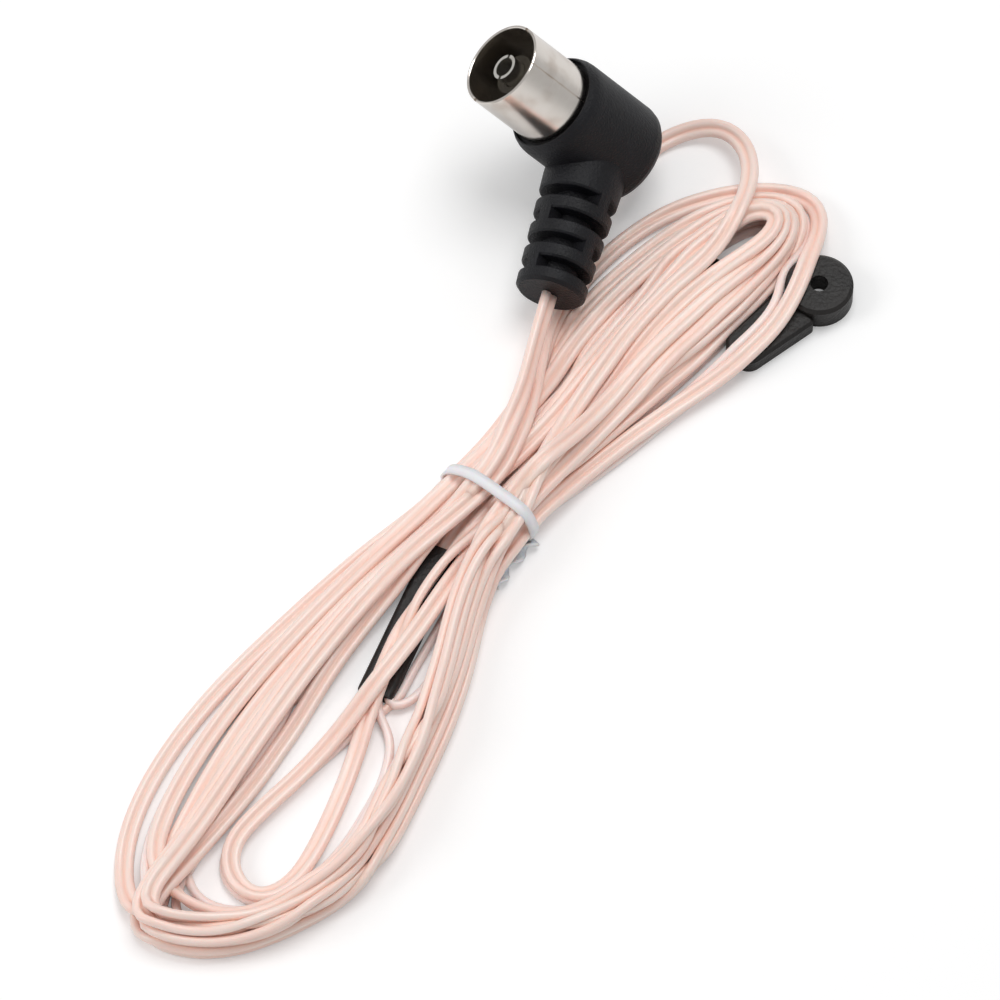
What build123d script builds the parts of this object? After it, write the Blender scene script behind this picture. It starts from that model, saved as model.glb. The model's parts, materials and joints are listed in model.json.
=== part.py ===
from build123d import *
import os
from math import cos, sin, tan, radians

os.makedirs("parts", exist_ok=True)

# Indoor radio aerial: a right-angle coaxial socket moulded on a clear twin lead.
# Millimetres, +Z up. The origin is on the table under the middle of the socket's moulding.
# The strain relief runs towards -Y and the socket's mouth leans towards -X.

# Nickel-plated shell of the socket
shell_outer_d = 10.4
shell_wall = 0.35
shell_show = 9.1
shell_bury = 3.4
rim_chamfer = 0.1
seam_width = 0.16
seam_depth = 0.2
seam_angle = -5.0
nick_width = 0.45
nick_depth = 0.5
nick_angle = 60.0

# Black insulator and split centre contact, measured back from the rim
contact_outer_d = 3.2
contact_inner_d = 2.4
contact_recess = 0.6
contact_bore_depth = 8.0
contact_floor = 0.8
contact_slot_width = 0.36
contact_slot_depth = 4.5
contact_slot_angle = 81.0
contact_tail_d = 1.6
boss_d = 5.0
boss_recess = 2.4
insulator_recess = 6.9
seat_gap = 0.03

# Moulded elbow and strain relief, measured from the crossing of their two axes
moulding_r = 6.4
moulding_front = 8.4
moulding_back = 5.6
mouth_gap = 0.5
mouth_gap_depth = 0.7
mouth_lip = 0.15
shoulder_length = 1.8
back_round = 2.1
back_bevels = 4
shoulder_bevels = 3
relief_length = 20.9
relief_root_r = 4.75
relief_tip_r = 4.15
relief_core_r = 2.5
tip_bevel = 0.4
slot_rows = 4
slot_width = 1.4
slot_pitch = 3.06
slot_flare = 0.2
tip_collar = 1.7
bridge_width = 1.6

# Clear twin lead: two round wires moulded side by side, with copper cores
wire_d = 1.1
core_d = 0.5

# Pose of the socket on the table
socket_lean = 50.0
relief_dip = 5.0

# Lead from the strain relief to the hank, laid along chosen points
lead_straight = 6.0
lead_points = [(4.1, -26.0, 4.9), (3.7, -31.5, 4.6), (3.2, -36.6, 4.2)]
bend_share = 0.45

# Hank: turns of the lead tied at a neck, with an open loop at each end
hank_height = 5.0
hank_bevel = 1.5
neck_centre = (3.7, -39.5)
neck_r = 5.9
waist_round = 14.0
low_centre = (-11.0, -89.3)
low_r = 14.2
low_hole_centre = (-6.6, -88.0)
low_hole_r = 4.6
fork_r = 2.9
top_centre = (20.8, -0.5)
top_r = 10.2
top_hole_ends = ((15.6, -12.0), (19.0, -4.0))
top_hole_r = 1.5
plug_room = 0.4
cord_room = 0.3

# White tie round the neck
tie_width = 1.5
tie_thickness = 0.5
tie_squeeze = 0.55
tie_round = 1.5
tail_width = 1.2
tail_height = 0.9
tail_round = 0.3
tail_turns = ((8.7, -44.8), (7.5, -48.8))

# Black sleeve where the twin lead parts into two arms
joint_start = (0.3, -46.8)
joint_end = (-2.3, -66.6)
joint_width = 4.2
joint_height = 1.9
joint_round = 0.6

# Black end tabs with an eyelet for a nail
eyelet_d = 8.0
eyelet_height = 3.2
eyelet_hole_d = 2.1
eyelet_bevel = 0.4
tab_start = 3.3
tab_reach = 13.4
tab_root_width = 6.1
tab_tip_width = 4.6
tab_height = 2.2
root_corner = 0.6
tip_corner = 1.8
tab_edge_bevel = 0.35
right_eyelet = (33.2, -2.4)
right_bearing = 57.0
left_eyelet = (20.2, -6.1)
left_bearing = 67.7

FROM_TOP = (Align.CENTER, Align.CENTER, Align.MAX)
FROM_BASE = (Align.CENTER, Align.CENTER, Align.MIN)

shell_r = shell_outer_d / 2
shell_inner_r = shell_r - shell_wall
shell_base = moulding_front - shell_bury
rim = moulding_front + shell_show
contact_tip = rim - contact_recess
contact_base = contact_tip - contact_bore_depth - contact_floor
signal_level = -wire_d / 2
ground_level = wire_d / 2
tail_end = signal_level - core_d
ground_reach = (shell_r + shell_inner_r) / 2


def outer_shell():
    # rolled sleeve with a butt seam along it and two small nicks in the rim
    length = shell_bury + shell_show
    tube = Pos(Z=shell_base) * extrude(Circle(shell_r) - Circle(shell_inner_r), length)
    tube = chamfer(tube.edges().group_by(Axis.Z)[-1], rim_chamfer)
    seam = Pos(shell_r, 0, shell_base + length / 2) * Box(2 * seam_depth, seam_width, 2 * length)
    nick = Pos(Z=rim) * Box(2 * shell_outer_d, nick_width, 2 * nick_depth)
    return tube - Rot(Z=seam_angle) * seam - Rot(Z=nick_angle) * nick


def centre_contact():
    # turned tube, slotted so that its two halves spring on the mating pin, with a solder tail
    tube = Pos(Z=contact_tip) * Cylinder(contact_outer_d / 2, contact_tip - contact_base, align=FROM_TOP)
    tail = Pos(Z=contact_base) * Cylinder(contact_tail_d / 2, contact_base - tail_end, align=FROM_TOP)
    bore = Pos(Z=contact_tip) * Cylinder(contact_inner_d / 2, contact_bore_depth, align=FROM_TOP)
    slot = Pos(Z=contact_tip) * Box(2 * contact_outer_d, contact_slot_width, 2 * contact_slot_depth)
    return tube + tail - bore - Rot(Z=contact_slot_angle) * slot


def insulator():
    # plug of black plastic in the shell's base, with a boss round the contact
    disc = Pos(Z=shell_base) * Cylinder(
        shell_inner_r - seat_gap, rim - insulator_recess - shell_base, align=FROM_BASE
    )
    boss = Pos(Z=shell_base) * Cylinder(boss_d / 2, rim - boss_recess - shell_base, align=FROM_BASE)
    contact_hole = Pos(Z=contact_base) * Cylinder(
        contact_outer_d / 2 + seat_gap, rim - contact_base, align=FROM_BASE
    )
    tail_hole = Pos(Z=contact_base) * Cylinder(
        contact_tail_d / 2 + seat_gap, contact_base - tail_end, align=FROM_TOP
    )
    return disc + boss - contact_hole - tail_hole


def signal_core(gap=0.0, stop=contact_tail_d / 2):
    # copper of one wire, straight from the lead to the contact's tail
    wire = Cylinder(core_d / 2 + gap, relief_length - stop, align=FROM_BASE)
    return Pos(0, -relief_length, signal_level) * Rot(X=-90) * wire


def ground_core(gap=0.0):
    # copper of the other wire, bent square up to the shell's inner end
    start = (0, -relief_length, ground_level)
    corner = (0, -ground_reach, ground_level)
    end = (0, -ground_reach, shell_base)
    section = Plane(start, z_dir=(0, 1, 0)) * Circle(core_d / 2 + gap)
    return sweep(section, path=Polyline(start, corner, end), transition=Transition.RIGHT)


def bevelled(arc, count):
    # points that turn a round edge into a few even bevels
    return [arc @ (index / count) for index in range(count + 1)]


def elbow():
    # round body about the socket's axis: a gap round the shell, an eased shoulder and back edge
    gap_r = shell_r + mouth_gap
    gap_floor = moulding_front - mouth_gap_depth
    nose_r = gap_r + mouth_lip
    back_edge = CenterArc((moulding_r - back_round, back_round - moulding_back), back_round, -90, 90)
    shoulder = TangentArc(
        (moulding_r, moulding_front - shoulder_length), (nose_r, moulding_front), tangent=(0, 1)
    )
    outline = [(0, gap_floor), (0, -moulding_back)]
    outline += bevelled(back_edge, back_bevels) + bevelled(shoulder, shoulder_bevels)
    outline += [(gap_r, moulding_front), (gap_r, gap_floor)]
    return revolve(Plane.XZ * make_face(Polyline(*outline, close=True)), axis=Axis.Z)


def relief_radius(distance):
    taper = (relief_root_r - relief_tip_r) / (relief_length - moulding_r)
    return relief_root_r - taper * (distance - moulding_r)


def relief_slot(row):
    # ring-shaped slot with flared lips, open all round
    lip_in = relief_radius(row) - slot_flare
    lip_out = relief_radius(row) + slot_flare
    half = slot_width / 2
    flared = half + 2 * slot_flare
    outline = [(relief_core_r, half), (lip_in, half), (lip_out, flared)]
    outline += [(r, -z) for r, z in reversed(outline)]
    ring = Pos(0, row) * make_face(Polyline(*outline, close=True))
    return revolve(Plane.XZ * ring, axis=Axis.Z)


def strain_relief():
    # tapered tube with rows of slots: each row keeps two bridges, turned a quarter from row to row
    outline = [(0, relief_length), (0, 0), (relief_root_r, 0), (relief_root_r, moulding_r)]
    outline += [(relief_tip_r, relief_length - tip_bevel), (relief_tip_r - tip_bevel, relief_length)]
    tube = revolve(Plane.XZ * make_face(Polyline(*outline, close=True)), axis=Axis.Z)
    last_row = relief_length - tip_collar - slot_width / 2
    for index in range(slot_rows):
        row = last_row - slot_pitch * (slot_rows - 1 - index)
        bridge = Pos(Z=row) * Box(4 * relief_root_r, bridge_width, 2 * slot_pitch)
        tube -= relief_slot(row) - Rot(Z=90 * index) * bridge
    return Rot(X=90) * tube


def plug_body():
    body = elbow() + strain_relief()
    shell_seat = Pos(Z=shell_base) * Cylinder(shell_r + seat_gap, rim - shell_base, align=FROM_BASE)
    tail_hole = Pos(Z=shell_base) * Cylinder(
        contact_tail_d / 2 + seat_gap, shell_base - tail_end + seat_gap, align=FROM_TOP
    )
    return body - shell_seat - tail_hole - signal_core(seat_gap, stop=0) - ground_core(seat_gap)


lean = radians(socket_lean)
dip = radians(relief_dip)
mouth_dir = Vector(-cos(lean), -sin(dip) * sin(lean), cos(dip) * sin(lean))
side_dir = Vector(sin(lean), -sin(dip) * cos(lean), cos(dip) * cos(lean))
relief_dir = Vector(0, -cos(dip), -sin(dip))

plug_pieces = {
    "plug_body": plug_body(),
    "outer_shell": outer_shell(),
    "insulator": insulator(),
    "centre_contact": centre_contact(),
    "signal_core": signal_core(),
    "ground_core": ground_core(),
}
tilted = Plane((0, 0, 0), x_dir=side_dir, z_dir=mouth_dir).location
box = Compound([tilted * piece for piece in plug_pieces.values()]).bounding_box()
crossing = Vector(-box.center().X, -box.center().Y, -box.min.Z)
placed = {name: Pos(*crossing) * tilted * piece for name, piece in plug_pieces.items()}


def feeder_lead():
    # flat twin lead, straight out of the relief and then down into the hank
    exit_point = crossing + relief_dir * relief_length
    points = [exit_point, exit_point + relief_dir * lead_straight]
    points += [Vector(*point) for point in lead_points]
    runs = [after - before for before, after in zip(points, points[1:])]
    radii = []
    for before, after in zip(runs, runs[1:]):
        half_turn = radians(before.get_angle(after)) / 2
        radii.append(bend_share * min(before.length, after.length) / tan(half_turn))
    path = FilletPolyline(*points, radius=radii)
    section = Plane(exit_point, x_dir=mouth_dir, z_dir=relief_dir) * SlotOverall(2 * wire_d, wire_d)
    tube = sweep(section, path=path)
    print("lead bend radii", [round(radius, 1) for radius in radii])
    expected = section.area * path.length
    print("lead volume", round(tube.volume, 2), "section times length", round(expected, 2))
    return tube


def tab_plan():
    # block that holds the end of one arm: it tapers away from the eyelet
    root = tab_root_width / 2
    tip = tab_tip_width / 2
    corners = [(-tab_start, -root), (-tab_start, root), (-tab_reach, tip), (-tab_reach, -tip)]
    plan = make_face(Polyline(*corners, close=True))
    plan = fillet(plan.vertices().group_by(Axis.X)[0], tip_corner)
    return fillet(plan.vertices().group_by(Axis.X)[-1], root_corner)


def rounded_tab(eyelet, bearing):
    # thick eyelet disc on the thinner block
    disc = extrude(Circle(eyelet_d / 2), eyelet_height)
    disc = chamfer(disc.edges().group_by(Axis.Z)[-1], eyelet_bevel)
    block = extrude(tab_plan(), tab_height)
    block = chamfer(block.edges().group_by(Axis.Z)[-1], tab_edge_bevel)
    hole = Cylinder(eyelet_hole_d / 2, eyelet_height, align=FROM_BASE)
    return Pos(*eyelet) * Rot(Z=bearing) * (disc + block - hole)


def tab_pocket(eyelet, bearing):
    # room under the turns for a tab
    disc = extrude(Circle(eyelet_d / 2 + cord_room), eyelet_height + cord_room)
    block = extrude(offset(tab_plan(), cord_room), tab_height + cord_room)
    return Pos(*eyelet) * Rot(Z=bearing) * (disc + block)


def junction_sleeve():
    # flat shrunk sleeve, square at both ends
    start = Vector(*joint_start)
    run = Vector(*joint_end) - start
    across = Plane(start + Vector(0, 0, joint_height / 2), x_dir=run.rotate(Axis.Z, 90), z_dir=run)
    return extrude(across * RectangleRounded(joint_width, joint_height, joint_round), run.length)


def neck_plane():
    run = Vector(*top_centre) - Vector(*low_centre)
    return Plane(
        Vector(*neck_centre) + Vector(0, 0, hank_height / 2), x_dir=run.rotate(Axis.Z, -90), z_dir=run
    )


def tie_inside():
    return RectangleRounded(2 * (neck_r - tie_squeeze), hank_height - 2 * tie_squeeze, tie_round)


def tie_tail(room=0.0):
    # twisted end of the band, lying beside the hank
    side = neck_plane().from_local_coords(Vector(neck_r - tie_squeeze + tie_thickness / 2, 0, 0))
    level = tail_height / 2 + tie_squeeze - tie_thickness
    points = [Vector(side.X, side.Y, level)] + [Vector(*turn, level) for turn in tail_turns]
    run = points[1] - points[0]
    across = Plane(points[0], x_dir=run.rotate(Axis.Z, 90), z_dir=run)
    outline = RectangleRounded(tail_width + 2 * room, tail_height + 2 * room, tail_round)
    return sweep(across * outline, path=Polyline(*points), transition=Transition.ROUND)


def hank_tie():
    # flat band pulled round the neck
    band_outline = offset(tie_inside(), tie_thickness)
    band = extrude(neck_plane() * (band_outline - tie_inside()), tie_width / 2, both=True)
    return band + tie_tail()


def hull_of(*circles):
    outlines = [Pos(*centre) * Circle(radius) for centre, radius in circles]
    return make_hull([edge for outline in outlines for edge in outline.edges()])


def cord_hank(lead):
    # outer shape of the tied turns: two loops joined at the neck
    neck = (neck_centre, neck_r)
    plan = hull_of(neck, (low_centre, low_r)) + hull_of(neck, (top_centre, top_r))
    waist = plan.vertices().sort_by_distance(Vector(*neck_centre))[:2]
    plan = fillet(waist, waist_round)
    slab = extrude(plan, hank_height)
    slab = chamfer(slab.edges().group_by(Axis.Z)[0] + slab.edges().group_by(Axis.Z)[-1], hank_bevel)
    low_hole = hull_of((low_hole_centre, low_hole_r), (joint_start, fork_r))
    top_hole = hull_of(*((end, top_hole_r) for end in top_hole_ends))
    slab -= extrude(low_hole + top_hole, hank_height)

    groove = offset(tie_inside(), tie_squeeze + tie_round) - tie_inside()
    slab -= extrude(neck_plane() * groove, (tie_width + cord_room) / 2, both=True)
    slab -= tie_tail(cord_room)
    slab -= tab_pocket(right_eyelet, right_bearing) + tab_pocket(left_eyelet, left_bearing)
    relief_axis = Plane(crossing, z_dir=relief_dir)
    slab -= relief_axis * Cylinder(relief_root_r + plug_room, relief_length + plug_room, align=FROM_BASE)
    return slab - lead


lead = feeder_lead()
placed["feeder_lead"] = lead
placed["cord_hank"] = cord_hank(lead)
placed["hank_tie"] = hank_tie()
placed["junction_sleeve"] = junction_sleeve()
placed["end_tab_right"] = rounded_tab(right_eyelet, right_bearing)
placed["end_tab_left"] = rounded_tab(left_eyelet, left_bearing)

for name, piece in placed.items():
    export_step(piece, f"parts/{name}.step")
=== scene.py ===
import json
from math import cos, radians, sin, tau

import bpy
import numpy as np
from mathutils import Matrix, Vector
from mathutils.bvhtree import BVHTree
from mathutils.geometry import convex_hull_2d
from mathutils.kdtree import KDTree

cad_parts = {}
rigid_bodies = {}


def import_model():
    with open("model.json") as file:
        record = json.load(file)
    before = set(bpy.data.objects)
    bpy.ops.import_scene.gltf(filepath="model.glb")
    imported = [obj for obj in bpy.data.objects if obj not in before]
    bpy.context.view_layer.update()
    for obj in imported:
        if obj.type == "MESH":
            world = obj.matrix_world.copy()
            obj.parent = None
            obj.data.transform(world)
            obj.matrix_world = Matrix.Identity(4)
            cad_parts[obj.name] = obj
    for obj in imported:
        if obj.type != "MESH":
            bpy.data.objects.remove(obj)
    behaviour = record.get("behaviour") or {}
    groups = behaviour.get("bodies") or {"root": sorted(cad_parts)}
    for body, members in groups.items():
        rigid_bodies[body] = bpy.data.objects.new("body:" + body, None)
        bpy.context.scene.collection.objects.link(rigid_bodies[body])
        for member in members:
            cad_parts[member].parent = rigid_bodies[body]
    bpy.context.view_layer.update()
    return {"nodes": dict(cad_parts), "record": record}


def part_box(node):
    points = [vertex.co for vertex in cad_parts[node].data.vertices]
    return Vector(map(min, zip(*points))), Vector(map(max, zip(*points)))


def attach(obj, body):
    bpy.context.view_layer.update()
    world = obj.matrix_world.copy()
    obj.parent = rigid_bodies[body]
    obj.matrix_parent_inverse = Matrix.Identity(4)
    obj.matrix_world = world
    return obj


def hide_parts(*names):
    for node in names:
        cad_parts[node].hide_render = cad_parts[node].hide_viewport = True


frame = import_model()
nodes = frame["nodes"]


# Plug moulding
# Soft black vinyl, injected in one shot round the soldered socket and the end of the lead.
# The mould is spark-eroded, so the skin has a fine satin grain that breaks up every highlight.
class Shade:
    """An output of a material's nodes. Sums and products of it add Math nodes."""

    def __init__(self, tree, output=None):
        self.tree = tree
        self.output = output

    def fill(self, node, sockets):
        """Sets a node's sockets, each to a value or to a link from another Shade."""
        for name, value in sockets.items():
            if isinstance(value, Shade):
                self.tree.links.new(value.output, node.inputs[name])
            else:
                node.inputs[name].default_value = value

    def node(self, kind, settings, sockets, output=0):
        """Adds a node with its settings and then its sockets, and gives one of its outputs."""
        made = self.tree.nodes.new(kind)
        for name, value in settings.items():
            setattr(made, name, value)
        self.fill(made, sockets)
        return Shade(self.tree, made.outputs[output])

    def math(self, operation, first, second):
        return self.node("ShaderNodeMath", {"operation": operation}, {0: first, 1: second})

    def __add__(self, other):
        return self.math("ADD", self, other)

    def __mul__(self, other):
        return self.math("MULTIPLY", self, other)

    __radd__ = __add__
    __rmul__ = __mul__

    def between(self, low, high):
        """0 where the value is low or less, 1 where it is high or more."""
        sockets = {"Value": self, "From Min": low, "From Max": high}
        return self.node("ShaderNodeMapRange", {"interpolation_type": "SMOOTHSTEP"}, sockets)

    def tint(self, low, high):
        """A colour that goes from low to high as the value goes from 0 to 1."""
        ends = [end if isinstance(end, Shade) else (*end, 1) for end in (low, high)]
        return self.node("ShaderNodeMix", {"data_type": "RGBA"}, {0: self, 6: ends[0], 7: ends[1]}, 2)

    def noise(self, place, scale, detail=2.0):
        sockets = {"Vector": place, "Scale": scale, "Detail": detail}
        return self.node("ShaderNodeTexNoise", {}, sockets, "Fac")

    def bump(self, height, distance, strength=1.0):
        sockets = {"Height": height, "Distance": distance, "Strength": strength}
        return self.node("ShaderNodeBump", {}, sockets)


def new_finish(name):
    """A new material, its main shader, and a Shade and the object's coordinates to start from."""
    material = bpy.data.materials.new(name)
    material.use_nodes = True
    tree = material.node_tree
    start = Shade(tree)
    place = start.node("ShaderNodeTexCoord", {}, {}, "Object")
    return material, tree.nodes["Principled BSDF"], start, place


def black_plastic(name, deep, pale, grain, gloss):
    """Moulded black plastic: a cloudy tone, a fine grain and a soft shine."""
    material, surface, start, place = new_finish(name)
    cloud = start.noise(place, scale=260, detail=4)
    skin = start.noise(place, scale=grain, detail=3)
    start.fill(surface, {
        "Base Color": cloud.between(0.35, 0.7).tint(deep, pale),
        "Roughness": gloss + 0.16 * cloud + 0.1 * skin,
        "Normal": start.bump(skin, distance=0.00012),
        "Specular IOR Level": 0.32,
    })
    return material


def give(node, material):
    """The CAD solid keeps its shape and takes this material."""
    nodes[node].data.materials.clear()
    nodes[node].data.materials.append(material)


vinyl = black_plastic("black_vinyl", (0.0025, 0.0026, 0.0042), (0.006, 0.0062, 0.009),
                      grain=4200, gloss=0.34)
give("plug_body", vinyl)


# Socket shell
# Sheet brass rolled to a tube with a butt seam and plated with bright nickel.
# It is gripped by the moulding, and its rim has two nicks from the rolling tool.
mounts = {mount["name"]: mount for mount in frame["record"]["mounts"]}
mouth = Vector(mounts["shell_socket"]["axis"])


def nickel(name, bright, worn, dull):
    """Bright nickel: rings left by rolling across the axis, and faint stains."""
    material, surface, start, place = new_finish(name)
    depth = start.node("ShaderNodeVectorMath", {"operation": "DOT_PRODUCT"}, {0: place, 1: mouth}, "Value")
    rings = start.node("ShaderNodeTexNoise", {"noise_dimensions": "1D"}, {"W": depth, "Scale": 6000}, "Fac")
    stain = start.noise(place, scale=330, detail=5)
    start.fill(surface, {
        "Base Color": stain.between(0.45, 0.72).tint(bright, worn),
        "Roughness": dull + 0.1 * stain + 0.05 * rings,
        "Normal": start.bump(rings, distance=0.000012, strength=0.35),
        "Metallic": 1.0,
    })
    return material


give("outer_shell", nickel("nickel_plate", (0.80, 0.75, 0.70), (0.66, 0.59, 0.53), dull=0.14))


# Socket insulator
# A black phenolic disc with a boss, pressed into the shell's base.
# It holds the contact on the socket's axis and keeps it clear of the shell.
phenolic = black_plastic("insulator_black", (0.026, 0.021, 0.014), (0.05, 0.041, 0.028),
                         grain=4200, gloss=0.42)
give("insulator", phenolic)


# Centre contact
# A turned brass tube, nickel-plated and slit so that it springs on the pin of a radio's inlet.
# It is pressed into the boss, with a tail at the back for the solder.
give("centre_contact", nickel("contact_plate", (0.82, 0.80, 0.75), (0.66, 0.61, 0.52), dull=0.18))


# Cores in the moulding
# Copper of the two wires, bared and soldered to the contact and to the shell.
# They are closed in the vinyl, so only a section of the plug would show them.
def bare_copper(name):
    """Bare copper with patches of tarnish."""
    material, surface, start, place = new_finish(name)
    tarnish = start.noise(place, scale=900, detail=4)
    start.fill(surface, {
        "Base Color": tarnish.tint((0.80, 0.45, 0.30), (0.55, 0.27, 0.16)),
        "Roughness": 0.25 + 0.2 * tarnish,
        "Metallic": 1.0,
    })
    return material


copper = bare_copper("bare_copper")
give("signal_core", copper)
give("ground_core", copper)


# Junction sleeve and end tabs
# Black plastic moulded over the wires: the flat sleeve where the feeder parts into two arms,
# and on each arm's end a tab with an eyelet, to pin the arm to a wall.
shiny_black = black_plastic("sleeve_black", (0.009, 0.008, 0.0078), (0.019, 0.017, 0.016),
                            grain=2400, gloss=0.30)
for node in ("junction_sleeve", "end_tab_right", "end_tab_left"):
    give(node, shiny_black)


# Route of the lead
# The feeder is one clear twin wire, wound in long flat turns from the sleeve up to the plug.
# Its two wires go on past the sleeve as the arms, which are the turns that were wound first.
mm = 0.001
wire_r = 0.55 * mm

# Stations round the hank, clockwise from the neck, each with its innermost and outermost place in mm
stations = np.array([
    [(5.2, -39.6), (-0.7, -37.7)],
    [(9.6, -30.3), (3.0, -28.5)],
    [(14.0, -17.5), (5.4, -13.0)],
    [(18.0, -6.0), (9.4, -2.2)],
    [(20.8, 1.6), (14.7, 4.7)],
    [(24.0, 5.0), (23.0, 9.4)],
    [(27.2, 4.4), (30.6, 9.6)],
    [(26.6, -0.2), (31.5, 1.5)],
    [(20.0, -10.5), (29.3, -9.8)],
    [(11.3, -27.5), (17.6, -26.0)],
    [(4.8, -39.5), (8.7, -40.9)],
    [(-0.4, -52.1), (6.4, -52.0)],
    [(-2.3, -65.0), (6.8, -67.0)],
    [(-2.3, -76.0), (5.0, -79.0)],
    [(-3.2, -86.0), (2.6, -89.5)],
    [(-4.6, -92.0), (-5.8, -99.6)],
    [(-7.5, -94.6), (-14.0, -103.2)],
    [(-11.5, -93.5), (-20.2, -101.4)],
    [(-13.0, -89.5), (-24.0, -96.6)],
    [(-11.5, -85.0), (-25.2, -89.0)],
    [(-7.4, -77.5), (-23.4, -79.0)],
    [(-2.6, -66.5), (-18.6, -67.3)],
    [(1.9, -52.5), (-9.6, -52.4)],
])
# A turn's lane is set at these stations, and changes evenly between them
set_stations = (0, 2, 4, 6, 8, 10, 12, 14, 16, 17, 18, 19, 22)
neck_right = 10
beside_sleeve = 12
past_sleeve = 13


def turn(lanes, next_neck):
    """A turn's points: each lane is 0 at the inside of the hank and 1 at its outside."""
    lanes = np.interp(range(len(stations)), (*set_stations, len(stations)), (*lanes, next_neck))
    return [tuple(inner + lane * (outer - inner)) for (inner, outer), lane in zip(stations, lanes)]


def turns(table, last_neck):
    """Turns one after the other, each ending in the lane where the next one starts."""
    necks = [lanes[0] for lanes in table[1:]] + [last_neck]
    return [turn(lanes, neck) for lanes, neck in zip(table, necks)]


feeder_turns = turns([
    (0.35, 1.12, 1.00, 1.00, 1.08, 0.90, 0.95, 0.95, 0.72, 0.98, 0.95, 0.96, 1.00),
    (1.00, 0.84, 0.54, 0.60, 0.49, 0.55, 0.84, 0.75, 0.45, 0.52, 0.67, 0.71, 0.87),
    (0.90, 0.64, 0.34, 0.46, 0.34, 0.00, 0.00, 0.00, 0.05, 0.00, 0.00, -0.03, -0.02),
    (0.00, 0.48, 0.25, 0.34, 0.22, 0.70, 0.92, 1.00, 1.00, 1.05, 0.57, 0.50, 0.76),
    (0.60, 0.32, 0.12, 0.20, -0.02, 0.45, 0.76, 0.85, 0.85, 1.08, 0.50, 0.42, 0.68),
    (0.42, 0.18, 0.00, 0.08, -0.42, 0.60, 0.82, 0.80, 0.72, 1.02, 0.43, 0.33, 0.60),
    (0.22, 0.00, 0.00, 0.00, 0.00, 0.75, 0.86, 0.90, 0.92, 1.05, 0.37, 0.24, 0.51),
], 0.60)
# The last turn's upper half slipped out under the plug and lies over the others as a loose loop
feeder_turns[-1][1:neck_right] = [
    (5.4, -29.0), (4.0, -18.0), (4.4, -8.0), (5.6, -1.0), (6.6, 5.5), (8.8, 10.8), (12.6, 14.6),
    (17.2, 15.8), (21.2, 12.4), (22.6, 6.0), (20.8, -1.5), (16.8, -9.0), (13.2, -17.0), (10.0, -27.0),
]
sleeve_top = (0.15, -48.0)
lead = [(0.4, -42.5), (3.2, -36.6), (3.7, -31.5), (4.1, -26.0), (3.77, -19.5), (3.77, -13.56)]
feeder_route = [sleeve_top, (1.0, -44.0)] + sum(feeder_turns, []) + lead

# An arm runs over only a part of its first or last turn, and the other lanes of that turn stay 0
right_turns = turns([
    (0.00, 0.00, 0.00, 0.00, 0.00, 0.80, 0.78, 0.60, 0.75, 0.70, 0.40, 0.29, 0.56),
    (0.85, 0.68, 0.48, 0.60, 1.04, 0.62, 0.86, 0.75, 0.50, 0.80, 0.68, 0.70, 0.84),
    (0.95, 0.28, 0.10, 0.30, 0.40, 0.50, 0.80, 0.70, 0.65, 0.80, 0.72, 0.74, 0.90),
    (0.75, 0.58, 0.40, 0.42, 0.30, 0.75, 0.80, 0.00, 0.00, 0.00, 0.00, 0.00, 0.00),
], 0.4)
right_route = [(26.2, -13.2), (24.4, -16.4), (21.0, -22.5), (14.5, -32.5)]
right_route += right_turns[0][neck_right:] + sum(right_turns[1:3], []) + right_turns[3][:beside_sleeve]
right_route += [(4.6, -58.5), (3.8, -62.8), (2.4, -65.6), (0.8, -67.4), (-0.6, -67.8), (-0.9, -66.2)]

left_turns = turns([
    (0.00, 0.00, 0.00, 0.00, 0.00, 0.00, 0.70, 0.50, 0.10, 0.05, 0.04, 0.00, -0.14),
    (0.00, 0.42, 0.20, 0.25, 0.16, 0.50, 0.80, 0.60, 0.30, 0.40, 0.42, 0.37, 0.64),
    (0.52, 0.10, 0.05, 0.10, -0.48, 0.70, 0.80, 0.80, 0.80, 0.95, 0.53, 0.46, 0.72),
    (0.12, 0.78, 0.52, 0.54, 0.36, 0.60, 0.84, 0.85, 0.75, 0.90, 0.46, 0.38, 0.50),
], 0.6)
left_route = [(-2.0, -66.2), (-1.9, -67.8), (-0.9, -69.3), (0.6, -70.4), (1.6, -72.8), (1.9, -75.5)]
left_route += left_turns[0][past_sleeve:] + sum(left_turns[1:], [])
left_route += [(4.0, -36.5), (8.8, -30.5), (12.6, -24.2), (15.4, -17.8)]
left_route.reverse()

step = 1.0 * mm


def laid_line(name, route):
    """Even points, a step apart, along a NURBS spline with the route's points as its control points."""
    curve = bpy.data.curves.new(name, "CURVE")
    curve.dimensions = "3D"
    curve.resolution_u = 12
    spline = curve.splines.new("NURBS")
    spline.points.add(len(route) - 1)
    for point, (x, y) in zip(spline.points, route):
        point.co = (x * mm, y * mm, wire_r, 1)
    spline.order_u = 3
    spline.use_endpoint_u = True
    holder = bpy.data.objects.new(name, curve)
    drawn = bpy.data.meshes.new_from_object(holder)
    line = np.array([vertex.co for vertex in drawn.vertices])
    for used, store in ((holder, bpy.data.objects), (drawn, bpy.data.meshes), (curve, bpy.data.curves)):
        store.remove(used)
    along = np.append(0, np.cumsum(np.linalg.norm(np.diff(line, axis=0), axis=1)))
    places = np.linspace(0, along[-1], round(along[-1] / step) + 1)
    return np.column_stack([np.interp(places, along, line[:, axis]) for axis in range(3)])


def sideways(line):
    """Level directions across a line, one at each of its points."""
    ahead = np.gradient(line, axis=0)
    across = np.column_stack([-ahead[:, 1], ahead[:, 0], np.zeros(len(line))])
    return across / np.linalg.norm(across, axis=1)[:, None]


def smooth(values, low, high):
    """0 up to low, 1 from high on, and an even rise between the two."""
    share = np.clip((values - low) / (high - low), 0, 1)
    return share * share * (3 - 2 * share)


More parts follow.
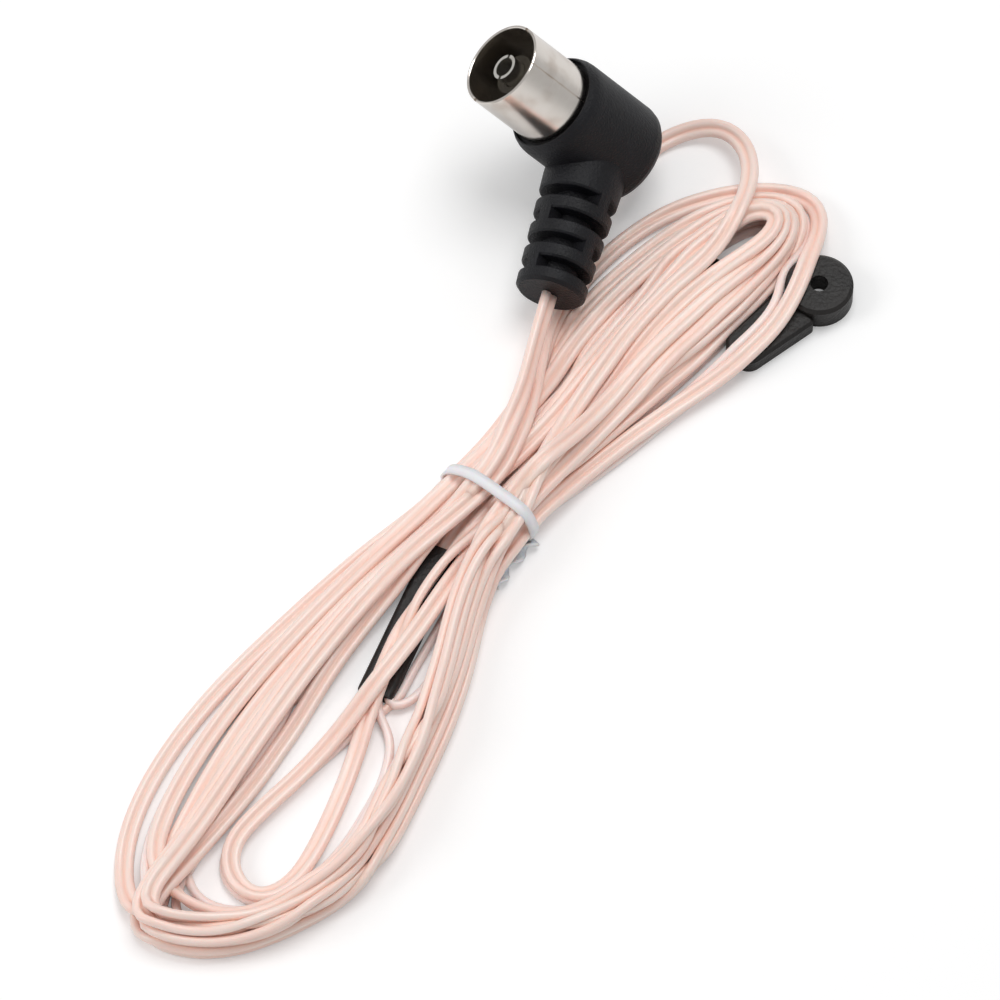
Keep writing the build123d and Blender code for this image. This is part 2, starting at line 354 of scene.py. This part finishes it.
right_line = laid_line("right_route", right_route)
left_line = laid_line("left_route", left_route)
feeder_line = laid_line("feeder_route", feeder_route)

# Each end stays at the height of what it goes into, and the lead stands up to the strain relief
held_end = 4 * mm
fixed = round(held_end / step)
sleeve_level = 0.95 * mm
tab_level = 1.1 * mm
for line in (right_line, left_line):
    line[:fixed, 2] = tab_level
    line[-fixed:, 2] = sleeve_level
feeder_line[:fixed, 2] = sleeve_level
relief_end = np.array((3.766, -13.557, 5.721)) * mm
to_plug = np.arange(len(feeder_line))[::-1] * step
rise_length = 30 * mm
rise = np.where(to_plug < rise_length, 1 - (to_plug / rise_length) ** 2, 0)
feeder_line[:, 2] += rise * (relief_end[2] - wire_r)

# A flat twin bends easily on its thin side only: it stands on edge round both ends and down the right
down = -np.gradient(feeder_line[:, 1]) / step
above, below = feeder_line[:, 1] / mm, -feeder_line[:, 1] / mm
round_bottom = smooth(below, 78, 88) * smooth(down, -0.8, -0.3)
round_top = 0.4 * smooth(above, -2, 5)
down_right = smooth(below, 42, 50) * smooth(down, 0.2, 0.7)
on_edge = np.maximum(np.maximum(round_bottom, round_top), down_right)

# The third turn's lower half, the innermost strand of the lower loop, lies almost flat
neck_below = 40
passes = np.flatnonzero(np.diff(below > neck_below))
third_down, third_up, last_up = passes[[5, 6, 12]]
innermost = slice(third_down, third_up)
on_edge[innermost] *= 1 - 0.75 * smooth(below, 54, 61)[innermost]

# Near the plug the twin leaves the lay of the hank for the angle of the strain relief's bore
at_plug = smooth(-to_plug, -25 * mm, -8 * mm)
edge_angle = 85
bore_angle = 50
roll = np.radians(edge_angle * on_edge * (1 - at_plug) + bore_angle * at_plug)[:, None]
up = np.array((0, 0, 1))
twin_side = wire_r * (np.cos(roll) * sideways(feeder_line) + np.sin(roll) * up)
feeder_line[:, 2] += wire_r * np.sin(roll[:, 0]) * (1 - at_plug)


# Winding of the hank
# Every turn falls on the ones wound before it, rolls off into the hollows between them and stays
# springy, so the wires pack as they do in the hand: side by side, crossing in long low humps.
lines = [right_line, left_line, feeder_line - twin_side, feeder_line + twin_side]
counts = [len(line) for line in lines]
home = np.vstack(lines)
ends = np.cumsum(counts)
spans = [(end - count, end) for count, end in zip(counts, ends)]
wire_of = np.repeat(range(4), counts)
strand = np.minimum(wire_of, 2)
along = np.concatenate([np.arange(count) * step for count in counts])
left_over = np.repeat(counts, counts) * step - along
held_lead = 14 * mm
held = (along < held_end) | (left_over < held_end) | ((strand == 2) & (left_over < held_lead))
first, second = slice(*spans[2]), slice(*spans[3])

# Stacked at first in the order of winding, and kept low where the plug stands over the route
turn_rise = 2.6 * mm
turn_length = 250 * mm
arm_rise = 7.0 * mm
start_height = turn_rise * along / turn_length + np.where(strand == 2, arm_rise, 0)
plug_low, plug_high = (np.array(corner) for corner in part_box("plug_body"))
beside = np.maximum(plug_low - home, home - plug_high)[:, :2].max(axis=1)
plug_room = 8 * mm
start_height *= np.clip(beside / plug_room, 0, 1)
wires = home + start_height[:, None] * up
wires[held] = home[held]

# The tie's strip passes under the wires at the neck, and the rest of them lie on the floor
neck = np.array((3.6, -39.7, 0)) * mm
neck_ahead = np.array((0.402, 0.9156, 0))
neck_across = np.array((0.9156, -0.402, 0))
strip_thickness = 0.38 * mm
from_neck = abs((home - neck) @ neck_ahead)
floor_level = wire_r + strip_thickness * (1 - smooth(from_neck, 1 * mm, 6 * mm))

# It also draws them together there and presses them flat, and they spread again in even slopes
grip = 0.16 * (1 - smooth(from_neck, 3 * mm, 14 * mm))[:, None]
neck_height = 5.3 * mm
flare = 0.4
pressed_to = neck_height + flare * np.maximum(from_neck - 2 * mm, 0)

obstacles = []
for node in ("plug_body", "junction_sleeve", "end_tab_right", "end_tab_left"):
    mesh = nodes[node].data
    tree = BVHTree.FromPolygons([v.co for v in mesh.vertices], [p.vertices for p in mesh.polygons])
    low, high = (np.array(corner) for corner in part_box(node))
    obstacles.append((tree, low - wire_r, high + wire_r))

# The feeder's turns go over the sleeve, those on their way up over those on their way down, and the
# loose loop comes down over the other turns, all in low slopes
sleeve_tree = obstacles[1][0]
layer = np.where(np.append(np.zeros(sum(counts[:2])), np.tile(down, 2)) < 0, 3, 1)
well_above = 20 * mm
for index in np.flatnonzero((strand == 2) & ~held):
    top = sleeve_tree.ray_cast(Vector((*home[index, :2], well_above)), Vector((0, 0, -1)))[0]
    if top:
        floor_level[index] = top.z + layer[index] * wire_r
loose_loop = np.arange(len(down)) > last_up
over_turns = (above > 1) & (above < 8) & (down > 0) & loose_loop
turns_height = 4.4 * mm
floor_level[spans[2][0]:][np.tile(over_turns, 2)] = turns_height
slope = 0.25
fall = slope * along
for begin, end in spans[2:]:
    level, run = floor_level[begin:end], fall[begin:end]
    after = np.maximum.accumulate(level + run) - run
    before = np.maximum.accumulate((level - run)[::-1])[::-1] + run
    floor_level[begin:end] = np.maximum(after, before)


def pile():
    """The wires' points, ready to be searched by place."""
    tree = KDTree(len(wires))
    for index, point in enumerate(wires):
        tree.insert(point, index)
    tree.balance()
    return tree


def near_pairs(reach, clear_run=8 * mm):
    """Pairs of wire points close to each other that aren't on the same stretch of a strand."""
    tree = pile()
    found = []
    for index, point in enumerate(wires):
        found += [(index, other) for _, other, _ in tree.find_range(point, reach) if other > index]
    one, two = np.array(found).T
    apart = (strand[one] != strand[two]) | (abs(along[one] - along[two]) > clear_run)
    return one[apart], two[apart]


slip = 0.4
push = 1.5


def push_apart(one, two, share):
    """Wires that overlap move out of each other, the upper one more than the one that carries it."""
    gap = wires[two] - wires[one]
    width = np.linalg.norm(gap, axis=1) + 1e-9
    hit = width < 2 * wire_r
    one, two, gap, width = one[hit], two[hit], gap[hit], width[hit]
    move = gap * ((2 * wire_r - width) / width)[:, None]
    move[:, :2] *= slip
    upper = np.where(gap[:, 2] > 0, share, 1 - share)
    count = np.bincount(one, minlength=len(wires)) + np.bincount(two, minlength=len(wires))
    for axis in range(3):
        total = np.bincount(two, move[:, axis] * upper, len(wires))
        total -= np.bincount(one, move[:, axis] * (1 - upper), len(wires))
        wires[:, axis] += total / np.maximum(count, 1) * push


lie = 0.06


def keep_twin():
    """The feeder's two wires stay joined, a wire's width apart, and tend to lie as they were laid."""
    middle = (wires[first] + wires[second]) / 2
    half = (wires[second] - wires[first]) / 2 + lie * twin_side
    half *= (wire_r / np.linalg.norm(half, axis=1))[:, None]
    wires[first] = middle - half
    wires[second] = middle + half


def keep_out():
    """Wires rest on the floor, under the tie, and stay outside the plug, the sleeve and the tabs."""
    for tree, low, high in obstacles:
        inside = np.all((wires > low) & (wires < high), axis=1) & ~held
        for index in np.flatnonzero(inside):
            point = Vector(wires[index])
            surface, normal, _, gap = tree.find_nearest(point)
            if (point - surface).dot(normal) < 0 or gap < wire_r:
                wires[index] = surface + normal * wire_r
    wires[:, 2] = np.clip(wires[:, 2], floor_level, np.maximum(pressed_to, floor_level))
    wires[held] = home[held]


def eased(values, spread):
    """Values along a strand, evened out over that many steps each way."""
    reach = int(3 * spread)
    weight = np.exp(-0.5 * (np.arange(-reach, reach + 1) / spread) ** 2)
    padded = np.pad(values, ((reach, reach), (0, 0)), "reflect", reflect_type="odd")
    columns = [np.convolve(column, weight / weight.sum(), "valid") for column in padded.T]
    return np.column_stack(columns)


# The wires fall, are drawn home and pushed apart round by round, and in the last rounds more gently
rounds = 280
last_rounds = 130
search_every = 6
search_reach = 3.4 * wire_r
upper_share = 0.7
for count in range(rounds):
    if count % search_every == 0:
        pairs = near_pairs(search_reach)
    late = max(0, count - rounds + last_rounds) / last_rounds
    drop = 0.22 - 0.19 * late
    draw = grip + 0.06 - 0.02 * late
    stiffness = 4.0 - 2.6 * late
    wires[:, 2] -= drop * mm
    wires[:, :2] += draw * (home - wires)[:, :2]
    for _ in range(3 + round(4 * late)):
        push_apart(*pairs, upper_share)
        keep_twin()
    shift = wires - home
    for begin, end in spans:
        shift[begin:end] = eased(shift[begin:end], stiffness)
    wires = home + shift
    keep_twin()
    keep_out()
last_ease = 1.0
for begin, end in spans:
    wires[begin:end] = eased(wires[begin:end], last_ease)


# Wires of the lead
# Copper strands twisted in clear soft vinyl, which the copper tints a pale peach; the two wires of
# the feeder are extruded as one, with a thin web between them, and the arms are torn apart from it.
settled = pile()


def painted_crease_shade(point, wire, run, depth=0.6 * mm, clear_run=8 * mm):
    """Painted shade for a point of a wire's skin, by how near it is to another wire: 1 where they touch, 0
    from depth on.
    """
    close = depth
    for _, index, gap in settled.find_range(point, wire_r + depth):
        if wire_of[index] != wire or abs(along[index] - run) > clear_run:
            close = min(close, max(0, gap - wire_r))
    return (1 - close / depth) ** 2


def tube(name, rings, wires_round, length):
    """A closed tube through rings of points, with its length and the way round as its UV map."""
    count, around = rings.shape[:2]
    skin = rings.reshape(-1, 3)
    row, col = np.meshgrid(range(count - 1), range(around), indexing="ij")
    rows = np.stack([row, row, row + 1, row + 1], axis=-1).reshape(-1, 4)
    cols = np.stack([col, col + 1, col + 1, col], axis=-1).reshape(-1, 4)
    sides = rows * around + cols % around
    last = (count - 1) * around
    caps = [list(range(around))[::-1], list(range(last, last + around))]
    mesh = bpy.data.meshes.new(name)
    mesh.from_pydata(skin.tolist(), [], sides.tolist() + caps)
    mesh.polygons.foreach_set("use_smooth", [True] * len(mesh.polygons))
    runs = np.linspace(0, length, count)
    layer = mesh.uv_layers.new(name="run")
    places = np.stack([runs[rows], cols / around], axis=-1).reshape(-1, 2)
    layer.data.foreach_set("uv", np.vstack([places, np.zeros((2 * around, 2))]).ravel())
    # Painted shade: each point of the skin stores how near another wire is, and the vinyl's colour deepens
    # there
    shade = mesh.attributes.new("painted_crease_shade", "FLOAT", "POINT")
    spots = zip(skin, wires_round * count, np.repeat(runs, around))
    shade.data.foreach_set("value", [painted_crease_shade(*spot) for spot in spots])
    piece = bpy.data.objects.new(name, mesh)
    bpy.context.scene.collection.objects.link(piece)
    return piece


def clear_vinyl(name, pale, warm, deep):
    """Clear vinyl over copper: pale streaks along the wire, and a painted deeper tone where other wires are
    near, for shade and the light that comes through them.
    """
    material, surface, start, _ = new_finish(name)
    run = start.node("ShaderNodeUVMap", {"uv_map": "run"}, {}, "UV")
    drawn_out = start.node("ShaderNodeMapping", {}, {"Vector": run, "Scale": (70, 6, 1)})
    streak = start.noise(drawn_out, scale=1)
    # Painted shade in the creases: the colour goes to deep where another wire is near
    between = start.node("ShaderNodeAttribute", {"attribute_name": "painted_crease_shade"}, {}, "Fac")
    start.fill(surface, {
        "Base Color": between.tint(streak.between(0.35, 0.65).tint(pale, warm), deep),
        "Roughness": 0.28 + 0.14 * streak,
        "Subsurface Weight": 0.35,
        "Subsurface Radius": (1.0, 0.6, 0.5),
        "Subsurface Scale": 0.0008,
        "Coat Weight": 0.3,
        "Coat Roughness": 0.15,
        "Sheen Weight": 0.2,
        "Sheen Roughness": 0.4,
    })
    return material


# The third colour of each is the painted shade in the creases between wires
twin_vinyl = clear_vinyl("clear_twin", (1.0, 0.79, 0.72), (1.0, 0.72, 0.64), (1.0, 0.62, 0.49))
arm_vinyl = clear_vinyl("clear_arm", (1.0, 0.85, 0.82), (1.0, 0.79, 0.74), (1.0, 0.68, 0.59))


def across_frame(line, side):
    """Unit directions across a line: along side, and square to it and to the line."""
    ahead = np.gradient(line, axis=0)
    ahead /= np.linalg.norm(ahead, axis=1)[:, None]
    side = side - ahead * (side * ahead).sum(axis=1)[:, None]
    side /= np.linalg.norm(side, axis=1)[:, None]
    return side, np.cross(ahead, side)


web_angle = 33
wire_points = 11
arc = np.radians(np.linspace(web_angle, 360 - web_angle, wire_points))
feeder_path = (wires[first] + wires[second]) / 2
side, square = across_frame(feeder_path, wires[second] - wires[first])
outline = [(-wire_r + wire_r * cos(angle), wire_r * sin(angle)) for angle in arc]
outline += [(-x, -y) for x, y in outline]
rings = feeder_path[:, None] + np.stack([side * x + square * y for x, y in outline], axis=1)
feeder = tube("feeder_twin", rings, [2] * wire_points + [3] * wire_points, along[first][-1])
feeder.data.materials.append(twin_vinyl)
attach(feeder, "root")
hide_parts("feeder_lead", "cord_hank")


def arm(name, wire):
    """One arm of the aerial: a single round wire from the junction sleeve to its end tab."""
    line = wires[slice(*spans[wire])]
    side, square = across_frame(line, sideways(line))
    around = 12
    angles = np.arange(around) * tau / around
    outline = [(wire_r * cos(angle), wire_r * sin(angle)) for angle in angles]
    rings = line[:, None] + np.stack([side * x + square * y for x, y in outline], axis=1)
    piece = tube(name, rings, [wire] * around, counts[wire] * step)
    piece.data.materials.append(arm_vinyl)
    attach(piece, "root")


arm("arm_right", 0)
arm("arm_left", 1)


# Tie
# A thin flat strip of white vinyl, pulled tight round the neck of the hank over all the turns.
# Its two ends are twisted together into a short tail, which lies beside the hank on the right.
def white_strip(name):
    """White vinyl, faintly cloudy."""
    material, surface, start, place = new_finish(name)
    cloud = start.noise(place, scale=700, detail=3)
    start.fill(surface, {
        "Base Color": cloud.tint((0.92, 0.91, 0.93), (0.84, 0.83, 0.86)),
        "Roughness": 0.38 + 0.2 * cloud,
        "Normal": start.bump(cloud, distance=0.00005, strength=0.5),
        "Subsurface Weight": 0.2,
        "Subsurface Scale": 0.0008,
    })
    return material


band_points = 96
band_ease = 3.0


def neck_outline(offset):
    """A line pulled tight round the wires where they pass the neck."""
    rim = []
    around = 16
    circle = [(cos(tau * index / around), sin(tau * index / around)) for index in range(around)]
    for begin, end in spans:
        line = wires[begin:end] - neck
        ahead, across = line @ neck_ahead, line @ neck_across
        passes = np.flatnonzero((ahead[:-1] * ahead[1:] <= 0) & (abs(across[:-1]) < 10 * mm))
        for index in passes:
            rim += [(across[index] + offset * x, line[index, 2] + offset * y) for x, y in circle]
    hull = [rim[index] for index in convex_hull_2d(rim)]
    loop = np.array(hull + hull[:1])
    run = np.append(0, np.cumsum(np.linalg.norm(np.diff(loop, axis=0), axis=1)))
    places = np.linspace(0, run[-1], band_points, endpoint=False)
    even = np.column_stack([np.interp(places, run, loop[:, axis]) for axis in range(2)])
    even = eased(np.tile(even, (3, 1)), band_ease)[band_points:2 * band_points]
    return [neck + neck_across * x + up * max(z, strip_thickness / 2) for x, z in even]


tail_turns = 1.25


def tail_strip(points, side):
    """One of the tie's two ends, wound round the tail's middle line, and its angle at each point."""
    line = np.array(points)
    places = np.linspace(0, len(line) - 1, 25)
    middle = np.column_stack([np.interp(places, range(len(line)), line[:, axis]) for axis in range(3)])
    angles = np.linspace(0, tail_turns * tau, len(places))
    out = np.cos(angles)[:, None] * sideways(middle) + np.sin(angles)[:, None] * up
    return list(middle + side * out), list(angles)


strip_clear = 0.2 * mm
band = neck_outline(wire_r + strip_thickness / 2 + strip_clear)
band_right = max(band, key=lambda point: point @ neck_across)
tail_level = 0.75 * mm
tail_middle = [(band_right[0], band_right[1], tail_level), (8.6 * mm, -44.6 * mm, tail_level),
               (7.6 * mm, -47.2 * mm, tail_level), (7.3 * mm, -49.4 * mm, tail_level)]
ends_a, angles_a = tail_strip(tail_middle, strip_thickness / 2)
ends_b, angles_b = tail_strip(tail_middle, -strip_thickness / 2)
edges = [(index, (index + 1) % len(band)) for index in range(len(band))]
for chain_start in (len(band), len(band) + len(ends_a)):
    edges += [(chain_start + index, chain_start + index + 1) for index in range(len(ends_a) - 1)]
path = bpy.data.meshes.new("tie_path")
path.from_pydata([tuple(point) for point in band + ends_a + ends_b], edges, [])
twist = path.attributes.new("twist", "FLOAT", "POINT")
twist.data.foreach_set("value", [0.0] * len(band) + angles_a + angles_b)


def strip_tree():
    """Nodes that sweep a flat section along a path, turned by the path's twist."""
    tree = bpy.data.node_groups.new("strip", "GeometryNodeTree")
    sockets = {"Path": "Geometry", "Width": "Float", "Thickness": "Float", "Finish": "Material"}
    for name, kind in sockets.items():
        tree.interface.new_socket(name, in_out="INPUT", socket_type=f"NodeSocket{kind}")
    tree.interface.new_socket("Strip", in_out="OUTPUT", socket_type="NodeSocketGeometry")
    kinds = {
        "given": "NodeGroupInput",
        "line": "GeometryNodeMeshToCurve",
        "angle": "GeometryNodeInputNamedAttribute",
        "turned": "GeometryNodeSetCurveTilt",
        "section": "GeometryNodeCurvePrimitiveQuadrilateral",
        "swept": "GeometryNodeCurveToMesh",
        "real": "GeometryNodeRealizeInstances",
        "coloured": "GeometryNodeSetMaterial",
        "result": "NodeGroupOutput",
    }
    made = {key: tree.nodes.new(kind) for key, kind in kinds.items()}
    made["angle"].data_type = "FLOAT"
    made["angle"].inputs["Name"].default_value = "twist"
    made["swept"].inputs["Fill Caps"].default_value = True
    links = (("given", "Path", "line", "Mesh"), ("line", "Curve", "turned", "Curve"),
             ("angle", "Attribute", "turned", "Tilt"), ("given", "Width", "section", "Width"),
             ("given", "Thickness", "section", "Height"), ("turned", "Curve", "swept", "Curve"),
             ("section", "Curve", "swept", "Profile Curve"), ("swept", "Mesh", "real", "Geometry"),
             ("real", "Geometry", "coloured", "Geometry"), ("given", "Finish", "coloured", "Material"),
             ("coloured", "Geometry", "result", "Strip"))
    for source, output, target, entry in links:
        tree.links.new(made[source].outputs[output], made[target].inputs[entry])
    return tree


tie = bpy.data.objects.new("tie", path)
bpy.context.scene.collection.objects.link(tie)
sweep = tie.modifiers.new("strip", "NODES")
sweep.node_group = strip_tree()
strip_width = 1.35 * mm
values = {"Width": strip_width, "Thickness": strip_thickness, "Finish": white_strip("white_strip")}
for item in sweep.node_group.interface.items_tree:
    if item.name in values:
        sweep[item.identifier] = values[item.name]
tie.data = bpy.data.meshes.new_from_object(tie.evaluated_get(bpy.context.evaluated_depsgraph_get()))
tie.modifiers.remove(sweep)
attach(tie, "root")
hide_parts("hank_tie")


# Stage
# A pale floor under soft studio light: a wide lamp overhead, a second one from the left and a
# weak sky, with the camera at the photograph's angle.
def stage_floor():
    """A wide white floor, a hair below the object, that takes its shadow."""
    half = 1.5
    mesh = bpy.data.meshes.new("floor")
    corners = [(-half, -half, 0), (half, -half, 0), (half, half, 0), (-half, half, 0)]
    mesh.from_pydata(corners, [], [(0, 1, 2, 3)])
    floor = bpy.data.objects.new("floor", mesh)
    floor.location.z = -0.00002
    bpy.context.scene.collection.objects.link(floor)
    material, surface, start, _ = new_finish("floor_white")
    camera_ray = start.node("ShaderNodeLightPath", {}, {}, "Is Camera Ray")
    start.fill(surface, {
        "Base Color": (0.88, 0.88, 0.88, 1),
        "Roughness": 0.9,
        "Specular IOR Level": 0.0,
        "Emission Color": camera_ray.tint((0, 0, 0), (0.2, 0.2, 0.2)),
        "Emission Strength": 1.0,
    })
    mesh.materials.append(material)


stage_floor()

world = bpy.data.worlds.new("sky")
world.use_nodes = True
bpy.context.scene.world = world
sky = Shade(world.node_tree)
camera_ray = sky.node("ShaderNodeLightPath", {}, {}, "Is Camera Ray")
sky.fill(world.node_tree.nodes["Background"], {"Color": (1, 1, 1, 1), "Strength": 0.45 + 0.55 * camera_ray})

hank_middle = Vector((4, -38, 0)) * mm


def lamp(name, place, size, power):
    """A square lamp that faces the middle of the hank."""
    light = bpy.data.lights.new(name, "AREA")
    light.size = size
    light.energy = power
    holder = bpy.data.objects.new(name, light)
    holder.location = place
    holder.rotation_euler = (hank_middle - holder.location).to_track_quat("-Z", "Y").to_euler()
    bpy.context.scene.collection.objects.link(holder)


lamp("overhead", (0.05, 0.25, 0.9), size=0.5, power=3.6)
lamp("left", (-0.6, -0.3, 0.5), size=0.35, power=1.6)

azimuth, elevation = radians(15.4), radians(62)
distance = 1.0
target = Vector((4.574, -38.088, 0)) * mm
back = Vector((sin(azimuth) * cos(elevation), -cos(azimuth) * cos(elevation), sin(elevation)))
camera = bpy.data.objects.new("camera", bpy.data.cameras.new("camera"))
camera.data.lens = 313.06
camera.data.sensor_width = 36
camera.location = target + back * distance
camera.rotation_euler = back.to_track_quat("Z", "Y").to_euler()
bpy.context.scene.collection.objects.link(camera)
bpy.context.scene.camera = camera
bpy.context.scene.view_settings.view_transform = "Standard"
